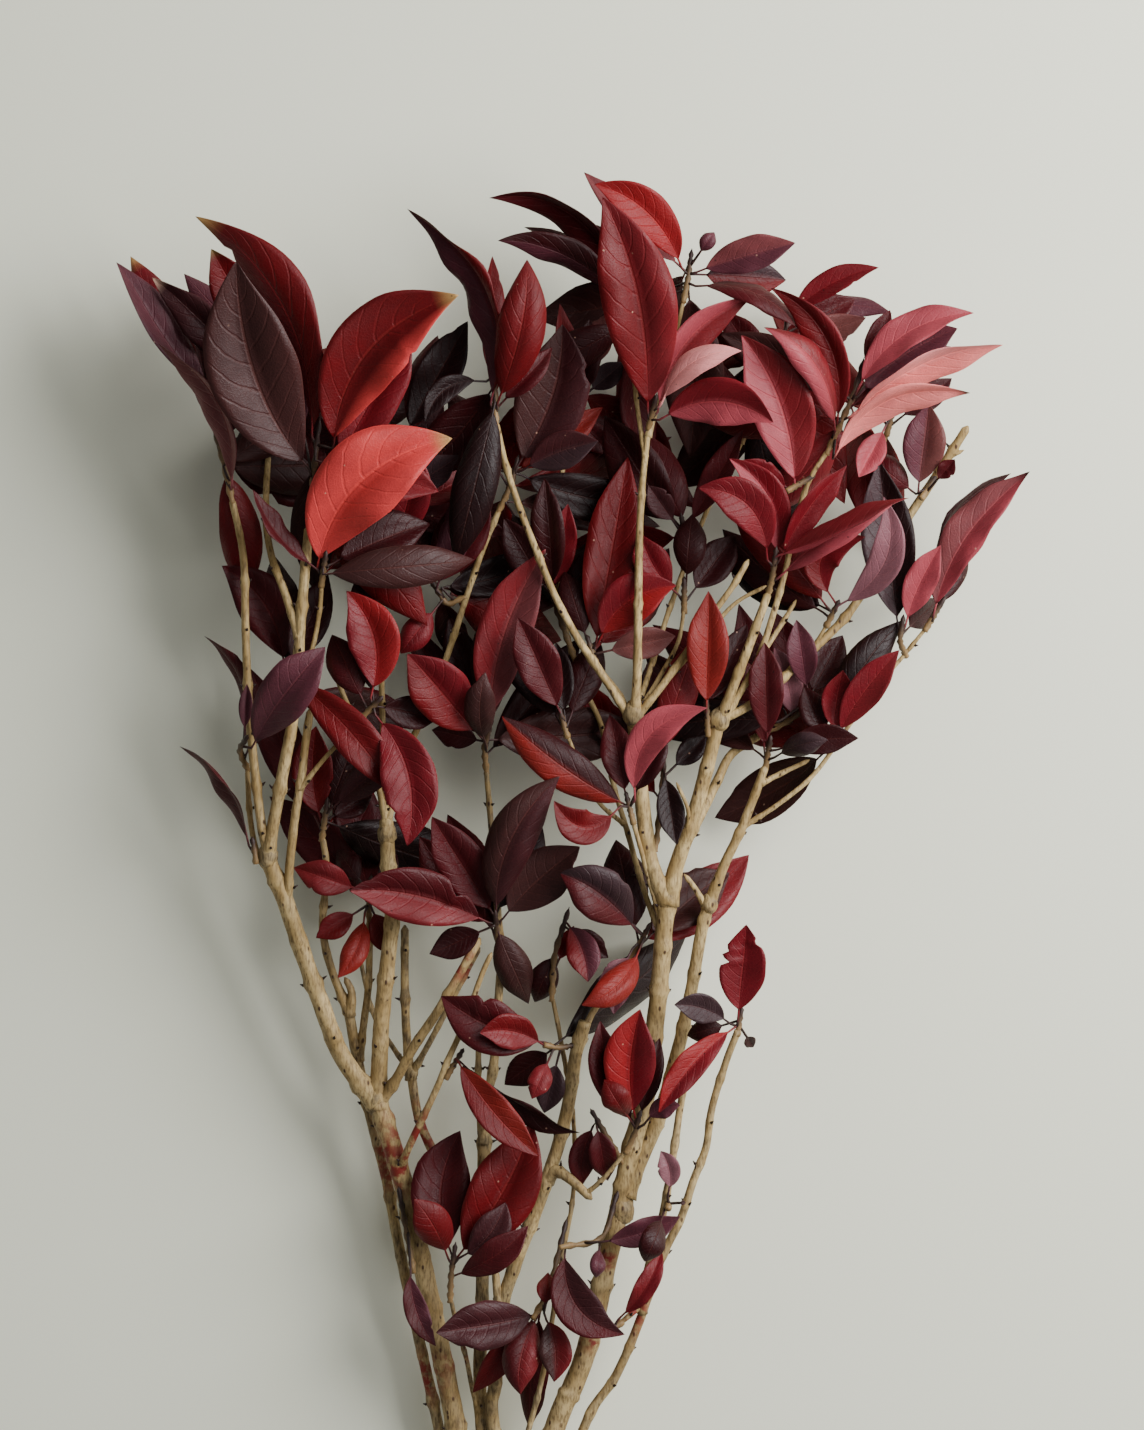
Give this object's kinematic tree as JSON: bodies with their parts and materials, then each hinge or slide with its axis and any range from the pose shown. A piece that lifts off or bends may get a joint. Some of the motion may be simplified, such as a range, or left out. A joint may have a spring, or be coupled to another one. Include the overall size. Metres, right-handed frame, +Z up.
{
  "type": "dried osmanthus leaf bunch",
  "caption": "Bunch of cut woody stems lying on its side, fanning out from bare feet into a crown of dried red and dusky pointed leaves.",
  "frame": {"origin": "middle of the bunch's outline, on the surface it lies on", "axes": "+Y along the bunch from its cut feet to its crown, +X across the fan, +Z up off the surface"},
  "size_m": [0.455, 0.7854, 0.1265],
  "materials": {
    "wood": "matte",
    "leaf": "satin"
  },
  "bodies": {
    "root": {"stem_hooked": "wood", "stem_main_right": "wood", "stem_middle": "wood", "stem_slim_left": "wood", "stem_slim_right": "wood", "stem_tall_left": "wood", "stem_thin": "wood", "shoot_behind_tall": "leaf", "shoot_black_pair": "leaf", "shoot_brick": "leaf", "shoot_brick_low": "leaf", "shoot_centre_back": "leaf", "shoot_coral_front": "leaf", "shoot_crescent": "leaf", "shoot_crimson_back": "leaf", "shoot_crimson_low": "leaf", "shoot_dark_middle": "leaf", "shoot_dusky_back": "leaf", "shoot_dusky_low": "leaf", "shoot_edge_low": "leaf", "shoot_far_low": "leaf", "shoot_far_right": "leaf", "shoot_grey": "leaf", "shoot_hanging": "leaf", "shoot_horizontal": "leaf", "shoot_left_coral": "leaf", "shoot_left_edge": "leaf", "shoot_left_inner": "leaf", "shoot_left_peak": "leaf", "shoot_left_upper": "leaf", "shoot_low_left": "leaf", "shoot_low_middle": "leaf", "shoot_low_right": "leaf", "shoot_maroon_twin": "leaf", "shoot_mauve_left": "leaf", "shoot_mauve_small": "leaf", "shoot_middle_back": "leaf", "shoot_pale": "leaf", "shoot_peak_middle": "leaf", "shoot_red_front": "leaf", "shoot_right_bitten": "leaf", "shoot_right_curl": "leaf", "shoot_right_edge": "leaf", "shoot_right_front": "leaf", "shoot_right_low": "leaf", "shoot_right_peak": "leaf", "shoot_right_red": "leaf", "shoot_right_rose": "leaf", "shoot_right_small": "leaf", "shoot_right_upper": "leaf", "shoot_rose_low": "leaf", "shoot_rose_middle": "leaf", "shoot_rose_strip": "leaf", "shoot_scarlet": "leaf", "shoot_scarlet_hanging": "leaf", "shoot_slant": "leaf", "shoot_star": "leaf", "shoot_top_front": "leaf", "shoot_top_left": "leaf", "shoot_top_right": "leaf"}
  },
  "joints": []
}
